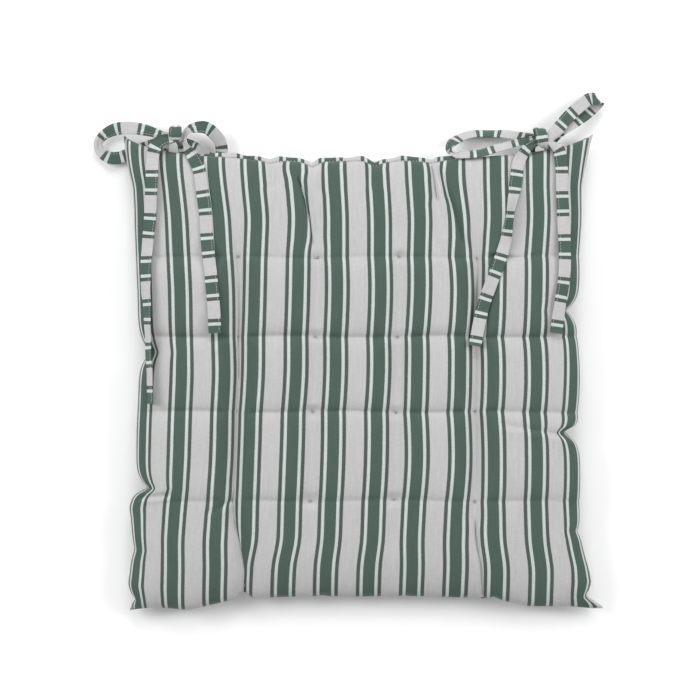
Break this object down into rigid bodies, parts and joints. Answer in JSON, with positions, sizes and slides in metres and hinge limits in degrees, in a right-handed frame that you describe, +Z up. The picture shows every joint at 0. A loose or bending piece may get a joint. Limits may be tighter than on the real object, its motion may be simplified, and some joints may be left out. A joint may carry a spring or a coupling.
{
  "type": "chair seat pad",
  "caption": "Square tufted seat pad of striped cotton cloth with a soft fibre filling, a knife edge and cloth ties tied in bows at the back corners.",
  "frame": {"origin": "middle of the pad's plan, on the surface that its underside lies on", "axes": "+X to the right and +Y to the chair's back, where the ties are; +Z up, out of the top cover"},
  "size_m": [0.4466, 0.4538, 0.0473],
  "materials": {
    "cover_cloth": "matte",
    "tie_cloth": "matte",
    "fibre_fill": "matte",
    "sewing_thread": "matte",
    "tuft_thread": "matte"
  },
  "bodies": {
    "root": {"filling": "fibre_fill", "top_cover": "cover_cloth", "bottom_cover": "cover_cloth", "edge_seam": "sewing_thread", "closing_seam": "sewing_thread", "tie_left_outer": "tie_cloth", "tie_left_inner": "tie_cloth", "tie_right_inner": "tie_cloth", "tie_right_outer": "tie_cloth", "tie_tack_left": "sewing_thread", "tie_tack_right": "sewing_thread", "tuft_thread_1_1": "tuft_thread", "tuft_thread_1_2": "tuft_thread", "tuft_thread_1_3": "tuft_thread", "tuft_thread_1_4": "tuft_thread", "tuft_thread_2_1": "tuft_thread", "tuft_thread_2_2": "tuft_thread", "tuft_thread_2_3": "tuft_thread", "tuft_thread_2_4": "tuft_thread", "tuft_thread_3_1": "tuft_thread", "tuft_thread_3_2": "tuft_thread", "tuft_thread_3_3": "tuft_thread", "tuft_thread_3_4": "tuft_thread", "tuft_thread_4_1": "tuft_thread", "tuft_thread_4_2": "tuft_thread", "tuft_thread_4_3": "tuft_thread", "tuft_thread_4_4": "tuft_thread"}
  },
  "joints": []
}
